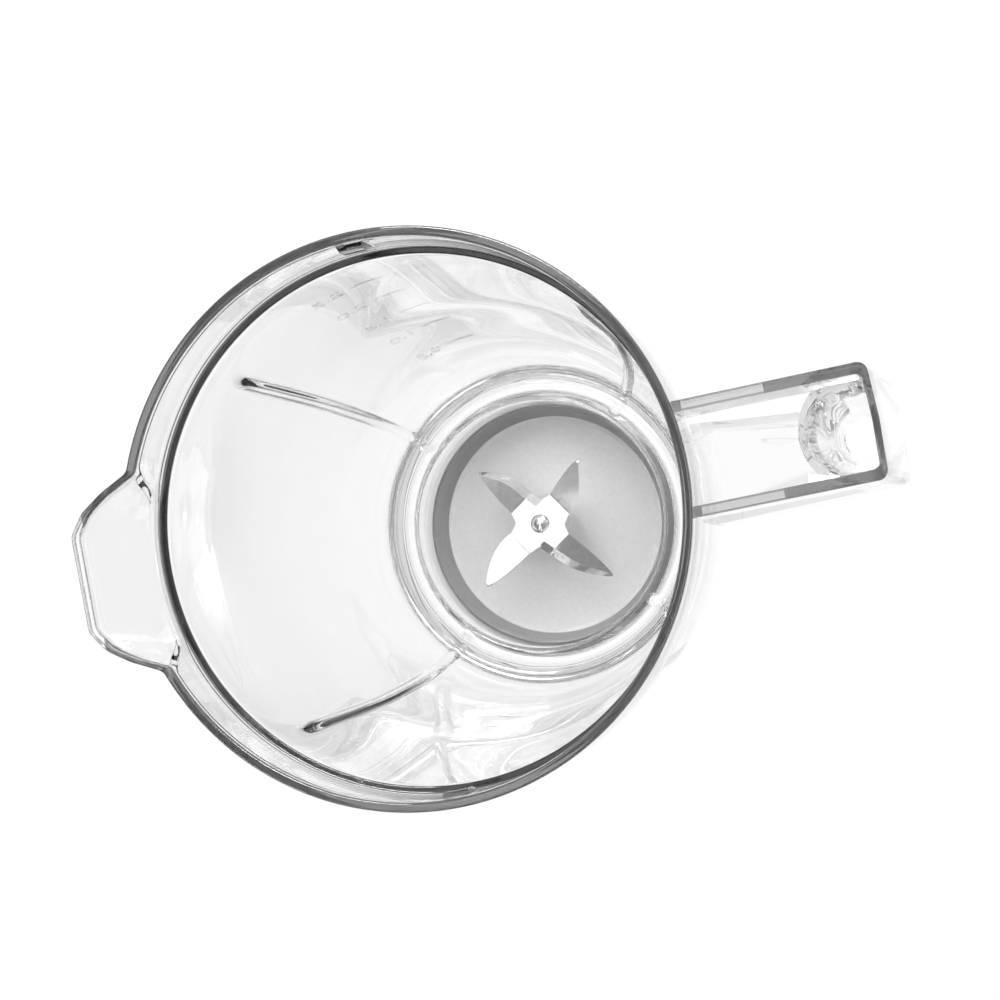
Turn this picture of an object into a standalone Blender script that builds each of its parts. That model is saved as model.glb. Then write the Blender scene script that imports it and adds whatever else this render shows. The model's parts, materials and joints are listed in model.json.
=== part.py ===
"""Clear plastic blender goblet with a spout, a hollow handle and a removable blade unit.

Lengths below are in millimetres and are scaled to metres when a mesh is made. +Z runs up the goblet's
axis, z = 0 is the plane that the skirt stands on, +X points to the handle and -X to the spout.
"""

import math

import bmesh
import bpy

MM = 0.001
GAP = 0.3  # clearance left between neighbouring pieces that don't move

# Goblet: heights of the main features and wall thickness.
RIM_Z = 231.0
RIM_R = 68.5
RIM_INNER_R = 66.2
LEDGE_Z = 210.8
FLOOR_Z = 57.1
WALL = 2.4
COLUMNS = 44

# Inner face of the goblet from the ledge to the neck lip, as (radius, height).
BOWL_INSIDE = (
    (64.3, 210.2),
    (63.2, 190.0),
    (61.6, 149.0),
    (60.6, 128.0),
    (59.4, 114.6),
    (57.8, 101.0),
    (55.9, 87.2),
    (53.9, 77.0),
    (51.6, 69.0),
    (49.2, 63.0),
    (47.3, 59.4),
    (45.3, FLOOR_Z),
    (39.5, FLOOR_Z),
    (38.0, 56.3),
    (37.2, 54.9),
)
# Outer face from under the collar down to the foot of the skirt.
BODY_OUTSIDE = (
    (66.9, 208.0),
    (65.7, 190.0),
    (64.0, 149.0),
    (63.0, 128.0),
    (61.8, 114.6),
    (60.2, 101.0),
    (58.3, 87.2),
    (56.4, 77.0),
    (54.1, 69.0),
    (51.4, 62.0),
    (48.6, 56.6),
    (47.2, 52.0),
    (47.0, 1.0),
    (46.4, 0.0),
)
# Inside of the skirt, then down and up round the neck that holds the blade unit.
SKIRT_INSIDE = (
    (44.8, 0.0),
    (44.4, 0.8),
    (44.2, 49.5),
    (43.2, 51.6),
    (40.6, 51.6),
    (39.8, 50.6),
    (39.6, 24.2),
    (39.0, 23.6),
    (37.8, 23.6),
    (37.2, 24.2),
)

# Spout: outline corners at the rim as (distance from the axis along -X, half width).
SPOUT_CORNERS = ((80.7, 0.0), (80.7, 11.8), (77.2, 16.7), (71.4, 20.6), (64.1, 24.1))
SPOUT_ANGLES = (0.0, 4.2, 8.32, 10.2, 12.2, 14.2, 16.1, 18.4, 20.6, 22.5)
SPOUT_WALL = 2.3
SILL_Z = 217.3
LIP_FLOOR_Z = 228.6
SPOUT_ROOT_DEG = 20.6
SILL_END_DEG = 16.1

RIB_AZIMUTHS = (45.0, 135.0, 225.0, 315.0)
RIB_HALF_WIDTH = 1.3
RIB_HEIGHT = 1.8
LUG_AZIMUTHS = (90.0, 270.0)
LUG_HALF_DEG = 2.6

# Bayonet that locks the blade unit into the neck.
BAYONET_AZIMUTHS = (30.0, 150.0, 270.0)
LEDGE_HALF_DEG = 20.0
LEDGE_R = 35.2
TAB_HALF_DEG = 18.0

# Handle: a thin-walled loop, open downwards, with a tapered well sunk into its grip.
HANDLE_HALF_WIDTH = 13.6
HANDLE_WALL = 2.7
HANDLE_TOP_X = 112.9
HANDLE_FOOT_X = 115.2
TROUGH_FLOOR_Z = 210.4
WELL_X = 105.4
WELL_FLAT_X = 110.9
WELL_WALL = 1.9
GRIP_WALL = 2.4
# Sections of the well, as (height, radius).
WELL_ROWS = ((155.6, 4.9), (156.6, 5.9), (175.0, 7.6), (195.0, 9.5), (209.0, 10.8), (214.0, 11.4))

# Blade unit.
DISH_R = 33.4
DISH_EDGE_Z = 33.65
FLANGE_Z = 34.4
HUB_Z = 58.4
BLADE_T = 1.3
HUB_HALF = 8.4
UP_ARM_AZIMUTHS = (34.0, 214.0)
DOWN_ARM_AZIMUTHS = (124.0, 304.0)
UP_ARM_TILT = 42.0
DOWN_ARM_TILT = -26.3
# Hub outline from an up arm's leading root to the next down arm's, as (u, v) under and on top.
HUB_AFTER_UP = (
    ((8.4, -4.2), (8.4, -4.2)),
    ((8.4, 4.0), (8.4, 4.0)),
    ((6.0, 4.6), (6.0, 4.6)),
    ((5.3, 4.9), (2.9, 4.5)),
)
HUB_AFTER_DOWN = (
    ((8.4, -4.7), (8.4, -2.1)),
    ((8.4, 4.0), (8.4, 4.0)),
    ((6.3, 4.7), (6.3, 4.7)),
    ((5.4, 5.2), (5.4, 5.2)),
    ((4.9, 6.3), (4.9, 6.3)),
)
# Sections of an arm, as (distance from the fold, trailing edge, leading edge, width of the bevel).
ARM_ROWS = (
    (1.0, 4.0, -4.4, 2.5),
    (3.0, 4.1, -4.3, 2.6),
    (6.0, 4.25, -3.9, 2.6),
    (9.0, 4.3, -3.1, 2.6),
    (12.0, 4.3, -1.9, 2.5),
    (15.0, 4.2, -0.3, 2.4),
    (17.4, 4.0, 1.3, 1.9),
    (18.7, 3.7, 2.2, 0.9),
    (19.2, 3.4, 2.7, 0.4),
)
SHAFT_R = 3.0
STUD_R = 2.7
COVER_SCREW_AZIMUTHS = (90.0, 210.0, 330.0)
COVER_SCREW_PITCH_R = 27.0

CLEAR = ("clear_plastic", (0.93, 0.94, 0.95, 1.0), 0.06, 0.0, 0.9)
GREY = ("grey_plastic", (0.62, 0.62, 0.63, 1.0), 0.45, 0.0, 0.0)
STEEL = ("stainless_steel", (0.72, 0.72, 0.73, 1.0), 0.25, 1.0, 0.0)
BRONZE = ("sintered_bronze", (0.62, 0.44, 0.22, 1.0), 0.4, 1.0, 0.0)
SEAL = ("grey_rubber", (0.38, 0.38, 0.38, 1.0), 0.6, 0.0, 0.0)
RUBBER = ("black_rubber", (0.05, 0.05, 0.05, 1.0), 0.7, 0.0, 0.0)
COUPLING = ("black_plastic", (0.07, 0.07, 0.075, 1.0), 0.5, 0.0, 0.0)


def clear_scene():
    for obj in list(bpy.data.objects):
        bpy.data.objects.remove(obj, do_unlink=True)


def make_material(name, spec):
    """A Principled material for one piece."""
    _, colour, rough, metal, clear = spec
    mat = bpy.data.materials.new(name)
    mat.use_nodes = True
    bsdf = mat.node_tree.nodes["Principled BSDF"]
    bsdf.inputs["Base Color"].default_value = colour
    bsdf.inputs["Roughness"].default_value = rough
    bsdf.inputs["Metallic"].default_value = metal
    bsdf.inputs["Transmission Weight"].default_value = clear
    mat.diffuse_color = colour
    return mat


def mesh_object(name, points, faces, spec=None, smooth=False):
    """An object from points in millimetres. With no material it is a hidden cutter."""
    mesh = bpy.data.meshes.new(name)
    scaled = [(x * MM, y * MM, z * MM) for x, y, z in points]
    mesh.from_pydata(scaled, [], faces)
    body = bmesh.new()
    body.from_mesh(mesh)
    bmesh.ops.recalc_face_normals(body, faces=body.faces)
    body.to_mesh(mesh)
    body.free()
    mesh.update()
    obj = bpy.data.objects.new(name, mesh)
    bpy.context.scene.collection.objects.link(obj)
    if spec is None:
        obj.hide_render = True
        obj.display_type = "WIRE"
        return obj
    mesh.materials.append(make_material(name + "_" + spec[0], spec))
    if smooth:
        mesh.shade_smooth()
        mesh.set_sharp_from_angle(angle=math.radians(35))
    return obj


def at(r, azimuth, z):
    """The point at radius r, azimuth in degrees and height z."""
    turn = math.radians(azimuth)
    return (r * math.cos(turn), r * math.sin(turn), z)


def ring_grid(name, loops, spec=None, smooth=False):
    """A ring-shaped solid from one closed loop of points for each azimuth."""
    rows = len(loops[0])
    count = len(loops)
    points = [point for loop in loops for point in loop]
    faces = []
    for i in range(count):
        nxt = (i + 1) % count
        for j in range(rows):
            up = (j + 1) % rows
            faces.append((i * rows + j, nxt * rows + j, nxt * rows + up, i * rows + up))
    return mesh_object(name, points, faces, spec, smooth)


def lathe_ring(name, profile, spec=None, columns=48, smooth=True):
    """A solid of revolution whose closed (radius, height) profile stays clear of the axis."""
    loops = []
    for i in range(columns):
        azimuth = 360.0 * i / columns
        loops.append([at(r, azimuth, z) for r, z in profile])
    return ring_grid(name, loops, spec, smooth)


def lathe_solid(name, profile, spec=None, columns=32, centre=(0.0, 0.0), smooth=True):
    """A solid of revolution that meets the axis at both ends of its (radius, height) profile."""
    cx, cy = centre
    inner = profile[1:-1]
    points = [(cx, cy, profile[0][1]), (cx, cy, profile[-1][1])]
    for i in range(columns):
        azimuth = 360.0 * i / columns
        for r, z in inner:
            x, y, height = at(r, azimuth, z)
            points.append((cx + x, cy + y, height))
    rows = len(inner)
    faces = []
    for i in range(columns):
        here = 2 + i * rows
        there = 2 + ((i + 1) % columns) * rows
        faces.append((0, there, here))
        faces.append((1, here + rows - 1, there + rows - 1))
        for j in range(rows - 1):
            faces.append((here + j, there + j, there + j + 1, here + j + 1))
    return mesh_object(name, points, faces, spec, smooth)


def prism(name, outline, place, low, high, spec=None, smooth=False):
    """An outline pushed from low to high, where place(u, v, w) gives each corner."""
    count = len(outline)
    points = [place(u, v, low) for u, v in outline]
    points += [place(u, v, high) for u, v in outline]
    faces = [tuple(range(count)), tuple(range(2 * count - 1, count - 1, -1))]
    for i in range(count):
        nxt = (i + 1) % count
        faces.append((i, i + count, nxt + count, nxt))
    return mesh_object(name, points, faces, spec, smooth)


def boolean(obj, cutter, operation="DIFFERENCE"):
    modifier = obj.modifiers.new(operation.lower() + "_" + cutter.name, "BOOLEAN")
    modifier.operation = operation
    modifier.object = cutter
    modifier.solver = "EXACT"


def crossing(a_deg, start, end):
    """The distance from the axis at which the ray at angle a meets the line from start to end."""
    turn = math.radians(a_deg)
    ux, uy = math.cos(turn), math.sin(turn)
    dx, dy = end[0] - start[0], end[1] - start[1]
    return (start[0] * dy - start[1] * dx) / (ux * dy - uy * dx)


def spout_reach(a_deg):
    """Radius of the outside of the rim at angle a from the spout's centre line."""
    for start, end in zip(SPOUT_CORNERS, SPOUT_CORNERS[1:]):
        if a_deg <= math.degrees(math.atan2(end[1], end[0])) + 1e-6:
            return max(RIM_R, crossing(a_deg, start, end))
    return RIM_R


def blend(low, high, share):
    share = min(1.0, max(0.0, share))
    return low + (high - low) * share


def collar_points(a_deg):
    """(outer, inner) points of the collar at angle a from the spout's centre line."""
    if a_deg > SPOUT_ROOT_DEG:
        outer = [(RIM_R - 0.4, RIM_Z), (RIM_R, RIM_Z - 0.6)]
        outer += [(RIM_R, 224.0), (RIM_R, 217.0), (RIM_R, 210.0)]
        inner = [(66.0, 211.4), (66.05, SILL_Z), (66.1, 222.0), (66.15, 226.0)]
        inner += [(RIM_INNER_R, RIM_Z - 0.6), (RIM_INNER_R + 0.4, RIM_Z)]
        return outer, inner
    reach = spout_reach(a_deg)
    side = (a_deg - 8.32) / (SPOUT_ROOT_DEG - 8.32)
    edge_z = blend(LIP_FLOOR_Z, 223.5, side)
    sill_z = blend(SILL_Z, 222.0, (a_deg - SILL_END_DEG) / (SPOUT_ROOT_DEG - SILL_END_DEG))
    wall_in = reach - SPOUT_WALL
    crease = min(wall_in - 0.3, crossing(a_deg, (78.4, 11.8), (63.3, 18.7)))
    if a_deg <= 8.32:
        crease = 0.5 * (66.3 + wall_in)
    crease = max(66.6, crease)
    run = crease * math.cos(math.radians(a_deg))
    crease_z = min(edge_z - 0.4, blend(sill_z, LIP_FLOOR_Z, (run - 66.3) / 12.1))
    outer = [(reach - 0.4, RIM_Z), (reach, RIM_Z - 0.6), (reach, edge_z - 2.0)]
    outer += [(max(RIM_R, crease + 1.6), crease_z - 2.4), (RIM_R, min(sill_z - 5.0, 212.6))]
    inner = [(66.0, 211.4), (66.05, sill_z), (crease, crease_z), (wall_in - 0.1, edge_z)]
    inner += [(wall_in, RIM_Z - 0.6), (wall_in + 0.4, RIM_Z)]
    return outer, inner


def goblet_loops():
    """One closed loop of the goblet's section for each azimuth."""
    spout = [180.0 + a for a in SPOUT_ANGLES] + [180.0 - a for a in SPOUT_ANGLES[1:]]
    step = 360.0 / COLUMNS
    plain = [i * step for i in range(COLUMNS) if abs(i * step - 180.0) > SPOUT_ANGLES[-1] + 1.0]
    loops = []
    for azimuth in sorted(spout + plain):
        outer, inner = collar_points(abs(azimuth - 180.0))
        profile = outer + list(BODY_OUTSIDE) + list(SKIRT_INSIDE)
        profile += list(reversed(BOWL_INSIDE)) + [(65.4, LEDGE_Z)] + inner
        loops.append([at(r, azimuth, z) for r, z in profile])
    return loops


def add_rib(goblet, azimuth):
    """An upright rib that follows the inner face from the upper wall to the neck lip."""
    face = [point for point in BOWL_INSIDE if point[1] < 189.0 or point[0] < 45.0][:-2]
    crest = [(face[i][0] - RIB_HEIGHT, face[i][1]) for i in range(6)]
    crest += [(52.3, 77.9), (50.2, 70.2), (47.9, 64.6), (46.2, 61.5), (44.6, 59.1), (40.6, 58.8)]
    root = [(r + 1.2, z - 0.6) for r, z in face]
    outline = [(62.9, 189.0)] + crest + [(39.6, 57.3)] + list(reversed(root)) + [(64.0, 188.0)]
    turn = math.radians(azimuth)

    def place(r, z, w):
        return (r * math.cos(turn) - w * math.sin(turn), r * math.sin(turn) + w * math.cos(turn), z)

    rib = prism("rib_%d" % azimuth, outline, place, -RIB_HALF_WIDTH, RIB_HALF_WIDTH)
    boolean(goblet, rib, "UNION")


def sector(name, azimuth, half_deg, radii, heights, steps=6):
    """A block bounded by two radii, two heights and the azimuths at half_deg each side."""
    low_r, high_r = radii
    angles = [azimuth - half_deg + 2.0 * half_deg * i / steps for i in range(steps + 1)]
    outline = [at(high_r, a, 0.0)[:2] for a in angles]
    outline += [at(low_r, a, 0.0)[:2] for a in reversed(angles)]
    return prism(name, outline, lambda u, v, w: (u, v, w), heights[0], heights[1])


def build_goblet():
    goblet = ring_grid("goblet_body", goblet_loops(), CLEAR, smooth=True)
    for azimuth in RIB_AZIMUTHS:
        add_rib(goblet, azimuth)
    for azimuth in LUG_AZIMUTHS:
        lug = sector("lid_lug_%d" % azimuth, azimuth, LUG_HALF_DEG, (64.7, 67.0), (221.6, 228.8), 2)
        boolean(goblet, lug, "UNION")
    for azimuth in BAYONET_AZIMUTHS:
        ledge = sector("bayonet_%d" % azimuth, azimuth, LEDGE_HALF_DEG, (LEDGE_R, 38.4), (24.6, 28.0))
        boolean(goblet, ledge, "UNION")
        stop = sector(
            "bayonet_stop_%d" % azimuth, azimuth - 21.5, 1.6, (LEDGE_R, 38.4), (24.9, 32.6), 2
        )
        boolean(goblet, stop, "UNION")


def across(x, z, y):
    return (x, y, z)


def well_loops(grow):
    """Sections of the grip's well, grown outwards: round, with a flat beside the end wall."""
    loops = []
    for z, r in WELL_ROWS:
        flat = min(WELL_X + r, WELL_FLAT_X) + grow
        loop = []
        for i in range(30):
            x, y, _ = at(r + grow, 12.0 * i + 6.0, 0.0)
            loop.append((min(WELL_X + x, flat), y, z - grow))
        loops.append(loop)
    return loops


def grip_loops(grow, half):
    """Sections of the grip as the fingers feel it: rounded towards the goblet, square beyond the well."""
    loops = []
    for z, r in ((130.0, 5.9), (156.6, 5.9), (209.0, 10.8), (220.0, 11.8)):
        loop = [(130.0, -half, z), (130.0, half, z)]
        for i in range(17):
            turn = math.radians(90.0 + 11.25 * i)
            loop.append((WELL_X + (r + grow) * math.cos(turn), half * math.sin(turn), z))
        loops.append(loop)
    return loops


def loft(name, loops):
    """A closed solid through a stack of loops that hold the same number of points."""
    count = len(loops[0])
    points = [point for loop in loops for point in loop]
    faces = [tuple(range(count)), tuple(range(len(points) - 1, len(points) - count - 1, -1))]
    for row in range(len(loops) - 1):
        for i in range(count):
            nxt = (i + 1) % count
            low, high = row * count, (row + 1) * count
            faces.append((low + i, high + i, high + nxt, low + nxt))
    return mesh_object(name, points, faces)


def plan(end_x, half, bulge, z):
    """Outline of the handle from above at one height, with a slightly convex outer end."""
    right = [(50.0, -half), (end_x - bulge - 2.4, -half), (end_x - bulge - 0.7, 0.7 - half)]
    right += [(end_x - bulge, 2.4 - half), (end_x - 0.3 * bulge, -0.5 * half)]
    outline = right + [(end_x, 0.0)] + [(x, -y) for x, y in reversed(right)]
    return [(x, y, z) for x, y in outline]


def build_handle():
    """Thin-walled closed-loop handle, bonded to the goblet at its collar and at its lower arm."""
    half = HANDLE_HALF_WIDTH
    slope = (HANDLE_FOOT_X - HANDLE_TOP_X) / 62.0
    rows = [(RIM_Z - 0.6, 0.5), (168.0, 1.2), (155.0, 1.2), (110.0, 1.2)]
    ends = [HANDLE_TOP_X + slope * (RIM_Z - 0.6 - z) for z, _ in rows]
    ends[2] = HANDLE_FOOT_X - 2.7
    ends[3] = HANDLE_FOOT_X - 9.5
    stack = [plan(x, half, bulge, z) for x, (z, bulge) in zip(ends, rows)]
    handle = loft("handle", list(reversed(stack)))
    handle.hide_render = False
    handle.display_type = "TEXTURED"
    handle.data.materials.append(make_material("handle_clear_plastic", CLEAR))
    under = [(40.0, 108.2), (106.0, 151.2), (109.5, 152.0), (125.0, 163.0), (125.0, 90.0), (40.0, 90.0)]
    boolean(handle, prism("under_cut", under, across, -21.0, 21.0))

    jug = [(0.0, -10.0), (47.3, -10.0)]
    jug += [(r + GAP, z) for r, z in reversed(BODY_OUTSIDE[:12])]
    jug += [(RIM_R + GAP, 210.0 - GAP), (RIM_R + GAP, 240.0), (0.0, 240.0)]
    boolean(handle, lathe_solid("jug_clearance", jug, columns=COLUMNS * 2))

    inner = half - HANDLE_WALL
    trough = [plan(111.3, inner, 0.4, z) for z in (TROUGH_FLOOR_Z, 240.0)]
    boolean(handle, loft("trough_cut", trough))

    fingers = [(45.0, 207.6), (112.0, 207.6), (112.0, 174.1), (45.0, 142.2)]
    opening = prism("finger_cut", fingers, across, -30.0, 30.0)
    boolean(opening, loft("grip_form", grip_loops(GRIP_WALL, 13.8)))
    boolean(handle, opening)
    boolean(handle, loft("well_cut", well_loops(0.0)))

    core = [(44.0, 139.1), (103.0, 167.1), (103.0, 207.1), (110.2, 207.1), (112.9, 168.0)]
    core += [(110.2, 158.0), (107.0, 140.0), (80.0, 118.0), (44.0, 95.0)]
    hollow = prism("core_cut", core, across, 0.1 - inner, inner - 0.1)
    boolean(hollow, loft("well_wall", well_loops(WELL_WALL)))
    boolean(handle, hollow)


def build_blade_carrier():
    """Grey dish that locks into the neck and carries the bearing sleeve."""
    profile = [(7.6, 49.4), (6.9, 50.2), (4.6, 50.2), (4.6, 22.0), (6.8, 21.2), (7.6, 26.0)]
    profile += [(9.5, 34.0), (20.0, 32.6), (30.8, 30.6), (31.6, 21.4), (33.0, 20.6), (38.6, 20.6)]
    profile += [(39.0, 21.0), (39.0, 22.8), (38.6, 23.2), (35.2, 23.2), (34.8, 23.6), (34.8, 33.0)]
    profile += [(36.3, 33.3), (36.3, FLANGE_Z), (DISH_R, FLANGE_Z), (DISH_R - 0.5, FLANGE_Z)]
    profile += [(DISH_R - 0.9, DISH_EDGE_Z), (28.0, 33.9), (21.0, 34.7), (15.0, 36.2), (10.6, 38.6)]
    profile += [(8.6, 41.6), (7.8, 45.5)]
    carrier = lathe_ring("blade_carrier", profile, GREY, columns=38)
    for azimuth in BAYONET_AZIMUTHS:
        tab = sector("tab_%d" % azimuth, azimuth, TAB_HALF_DEG, (34.2, 36.8), (28.4, 32.0))
        boolean(carrier, tab, "UNION")
    for azimuth in COVER_SCREW_AZIMUTHS:
        add_screw_boss(carrier, azimuth)


def add_screw_boss(carrier, azimuth):
    x, y, _ = at(COVER_SCREW_PITCH_R, azimuth, 0.0)
    post = [(0.0, 20.6), (3.6, 20.6), (3.6, 33.2), (0.0, 33.2)]
    hole = [(0.0, 15.0), (1.65, 15.0), (1.65, 30.2), (0.0, 30.2)]
    boolean(carrier, lathe_solid("boss_%d" % azimuth, post, None, 20, (x, y)), "UNION")
    boolean(carrier, lathe_solid("boss_hole_%d" % azimuth, hole, None, 16, (x, y)))


def build_base_cover():
    """Ring under the carrier, with two grip wings and a round opening for the drive coupling."""
    profile = [(15.0, 17.2), (15.0, 20.2), (38.6, 20.2), (39.0, 19.8), (39.0, 15.4), (38.4, 14.6)]
    profile += [(36.9, 14.6), (36.2, 16.0), (32.4, 17.2)]
    cover = lathe_ring("base_cover", profile, GREY, columns=38)
    for azimuth in (0.0, 180.0):
        turn = math.radians(azimuth)
        wing = [(17.3, 18.7), (17.3, 8.6), (20.0, 6.2), (32.0, 6.2), (35.7, 9.0), (35.7, 18.7)]

        def place(r, z, w, turn=turn):
            x = r * math.cos(turn) - w * math.sin(turn)
            return (x, r * math.sin(turn) + w * math.cos(turn), z)

        boolean(cover, prism("wing_%d" % azimuth, wing, place, -2.13, 2.13), "UNION")
    for azimuth in COVER_SCREW_AZIMUTHS:
        x, y, _ = at(COVER_SCREW_PITCH_R, azimuth, 0.0)
        hole = [(0.0, 12.0), (1.95, 12.0), (1.95, 24.0), (0.0, 24.0)]
        boolean(cover, lathe_solid("cover_hole_%d" % azimuth, hole, None, 16, (x, y)))


def build_cover_screws():
    for number, azimuth in enumerate(COVER_SCREW_AZIMUTHS, 1):
        centre = at(COVER_SCREW_PITCH_R, azimuth, 0.0)[:2]
        head = 3.0
        profile = [(0.0, 14.4), (head - 0.9, 14.5), (head, 15.4), (head, 16.9), (1.35, 16.9)]
        profile += [(1.35, 28.6), (0.9, 29.4), (0.0, 29.4)]
        screw = lathe_solid("cover_screw_%d" % number, profile, STEEL, 20, centre)
        for turn in (0.0, 90.0):
            add_slot(screw, centre, turn, number)


def add_slot(screw, centre, turn, number):
    """One arm of the cross recess in a screw head."""
    ux, uy = at(1.0, turn, 0.0)[:2]
    outline = ((-1.7, -0.35), (1.7, -0.35), (1.7, 0.35), (-1.7, 0.35))

    def place(u, v, w):
        return (centre[0] + u * ux - v * uy, centre[1] + u * uy + v * ux, w)

    boolean(screw, prism("recess_%d_%d" % (number, turn), outline, place, 13.0, 15.6))


def build_bearing_stack():
    """Sleeve, bushes, seal and washers round the shaft, from the bottom up."""
    lathe_ring("bearing_sleeve", [(3.9, 20.8), (4.4, 20.8), (4.4, 49.8), (3.9, 49.8)], STEEL, 24)
    lathe_ring("lower_bush", [(3.1, 21.0), (3.78, 21.0), (3.78, 29.0), (3.1, 29.0)], BRONZE, 24)
    lathe_ring("upper_bush", [(3.1, 39.0), (3.78, 39.0), (3.78, 47.0), (3.1, 47.0)], BRONZE, 24)
    seal = [(3.1, 47.3), (3.78, 47.3), (3.78, 49.6), (3.5, 49.6), (3.1, 48.8)]
    lathe_ring("shaft_seal", seal, RUBBER, 24)
    cap = [(3.2, 50.6), (6.8, 50.6), (7.0, 50.8), (7.0, 51.4), (6.6, 51.8), (3.2, 51.8)]
    lathe_ring("seal_cap", cap, STEEL, 24)
    lathe_ring("lower_washer", [(3.1, 19.4), (6.2, 19.4), (6.2, 20.4), (3.1, 20.4)], STEEL, 24)


def build_sealing_ring():
    """Rubber ring that stands on the carrier's flange and seals against the neck."""
    low = FLANGE_Z + GAP
    profile = [(33.6, low), (36.6, low), (36.9, 35.2), (36.7, 36.6), (36.9, 38.0), (36.7, 39.4)]
    profile += [(36.9, 40.8), (36.9, 43.2), (36.5, 44.0), (35.9, 44.0), (35.6, 43.4)]
    lathe_ring("sealing_ring", profile, SEAL, 38)


def build_shaft():
    """Shaft with a retaining groove near its foot and a flat on the stud that drives the blade."""
    profile = [(0.0, 6.0), (2.6, 6.0), (SHAFT_R, 6.4), (SHAFT_R, 17.4), (2.4, 17.4), (2.4, 18.4)]
    profile += [(SHAFT_R, 18.4), (SHAFT_R, 56.6), (STUD_R, 56.6), (STUD_R, HUB_Z + 0.5)]
    profile += [(STUD_R - 0.4, HUB_Z + 1.0), (1.5, HUB_Z + 1.7), (0.7, HUB_Z + 2.05), (0.0, HUB_Z + 2.15)]
    shaft = lathe_solid("blade_shaft", profile, STEEL, 24)
    flat = ((2.1, -4.0), (4.0, -4.0), (4.0, 4.0), (2.1, 4.0))
    turn = math.radians(-59.0)

    def place(u, v, w):
        x = u * math.cos(turn) - v * math.sin(turn)
        return (x, u * math.sin(turn) + v * math.cos(turn), w)

    boolean(shaft, prism("stud_flat", flat, place, 56.65, 62.0))


def turned(azimuth, u, v, z):
    """The point that lies u along and v to the left of the direction at this azimuth."""
    turn = math.radians(azimuth)
    return (u * math.cos(turn) - v * math.sin(turn), u * math.sin(turn) + v * math.cos(turn), z)


def arm_points(azimuth, tilt):
    """Sections of one leaf-shaped arm beyond its fold line, ground on its convex leading edge.

    Each section is (trailing bottom, trailing top, leading top, leading bottom).
    """
    half = 0.5 * BLADE_T
    rise = math.radians(tilt)
    points = []
    for run, trail, lead, bevel in ARM_ROWS:
        if tilt > 0.0:
            bevel *= min(1.0, run / 6.0)
        top_edge, low_edge = (lead + bevel, lead) if tilt < 0.0 else (lead, lead + bevel)
        for v, w in ((trail, -half), (trail, half), (top_edge, half), (low_edge, -half)):
            along = HUB_HALF + run * math.cos(rise) - w * math.sin(rise)
            height = HUB_Z - half + run * math.sin(rise) + w * math.cos(rise)
            points.append(turned(azimuth, along, v, height))
    return points


def build_blade():
    """Four-armed stamped blade: two arms bent up and two bent down."""
    arms = [(a, UP_ARM_TILT, HUB_AFTER_UP) for a in UP_ARM_AZIMUTHS]
    arms += [(a, DOWN_ARM_TILT, HUB_AFTER_DOWN) for a in DOWN_ARM_AZIMUTHS]
    arms.sort()
    under, top, roots = [], [], []
    for azimuth, _, corners in arms:
        roots.append(len(under))
        under += [turned(azimuth, *low, HUB_Z - BLADE_T) for low, _ in corners]
        top += [turned(azimuth, *high, HUB_Z) for _, high in corners]
    ring = len(under)
    points = under + top
    faces = [tuple(range(ring)), tuple(range(2 * ring - 1, ring - 1, -1))]
    for i in range(ring):
        if i not in roots:
            nxt = (i + 1) % ring
            faces.append((i, i + ring, nxt + ring, nxt))
    for lead, (azimuth, tilt, _) in zip(roots, arms):
        first = len(points)
        points += arm_points(azimuth, tilt)
        section = (lead + 1, lead + 1 + ring, lead + ring, lead)
        for row in range(len(ARM_ROWS)):
            beyond = tuple(first + 4 * row + j for j in range(4))
            for j in range(4):
                k = (j + 1) % 4
                faces.append((section[j], section[k], beyond[k], beyond[j]))
            section = beyond
        faces.append(section)
    blade = mesh_object("blade_cross", points, faces, STEEL)
    hole = [(0.0, 50.0), (STUD_R + 0.1, 50.0), (STUD_R + 0.1, 65.0), (0.0, 65.0)]
    boolean(blade, lathe_solid("blade_hole", hole, None, 32))


def build_rotor_rings():
    """Rings that turn with the shaft."""
    lathe_ring("thrust_washer", [(3.1, 52.1), (5.6, 52.1), (5.6, 52.9), (3.1, 52.9)], BRONZE, 24)
    spacer = [(3.1, 53.2), (4.6, 53.2), (5.2, 53.8), (5.2, 56.2), (4.9, 56.5), (3.1, 56.5)]
    lathe_ring("blade_spacer", spacer, STEEL, 24)


def build_retaining_clip():
    """Open ring that sits in the shaft's groove."""
    angles = [25.0 + 31.0 * i for i in range(11)]
    outline = [at(5.0, a, 0.0)[:2] for a in angles]
    outline += [at(2.5, a, 0.0)[:2] for a in reversed(angles)]
    prism("retaining_clip", outline, lambda u, v, w: (u, v, w), 17.55, 18.25, STEEL)


def build_drive_coupling():
    """Coupling on the shaft's foot, with four drive sockets open downwards."""
    insert = [(3.1, 8.0), (5.0, 8.0), (5.0, 15.6), (3.1, 15.6)]
    lathe_ring("coupling_insert", insert, STEEL, 24)
    body = [(0.0, 1.0), (12.2, 1.0), (12.8, 1.6), (12.8, 13.2), (12.2, 13.8), (7.0, 13.8)]
    body += [(6.4, 16.2), (0.0, 16.2)]
    coupling = lathe_solid("drive_coupling", body, COUPLING, 38)
    bore = [(0.0, 5.6), (3.3, 5.6), (3.3, 7.7), (5.3, 7.7), (5.3, 20.0), (0.0, 20.0)]
    boolean(coupling, lathe_solid("coupling_bore", bore, None, 24))
    for number in range(4):
        socket = sector("socket_%d" % number, 90.0 * number, 33.0, (5.4, 10.6), (-1.0, 7.0), 5)
        boolean(coupling, socket)


clear_scene()
build_goblet()
build_handle()
build_sealing_ring()
build_blade_carrier()
build_bearing_stack()
build_base_cover()
build_cover_screws()
build_shaft()
build_blade()
build_rotor_rings()
build_retaining_clip()
build_drive_coupling()
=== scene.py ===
"""The look of the blender goblet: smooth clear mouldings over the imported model, steel and grey plastic."""

import json
import math

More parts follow.
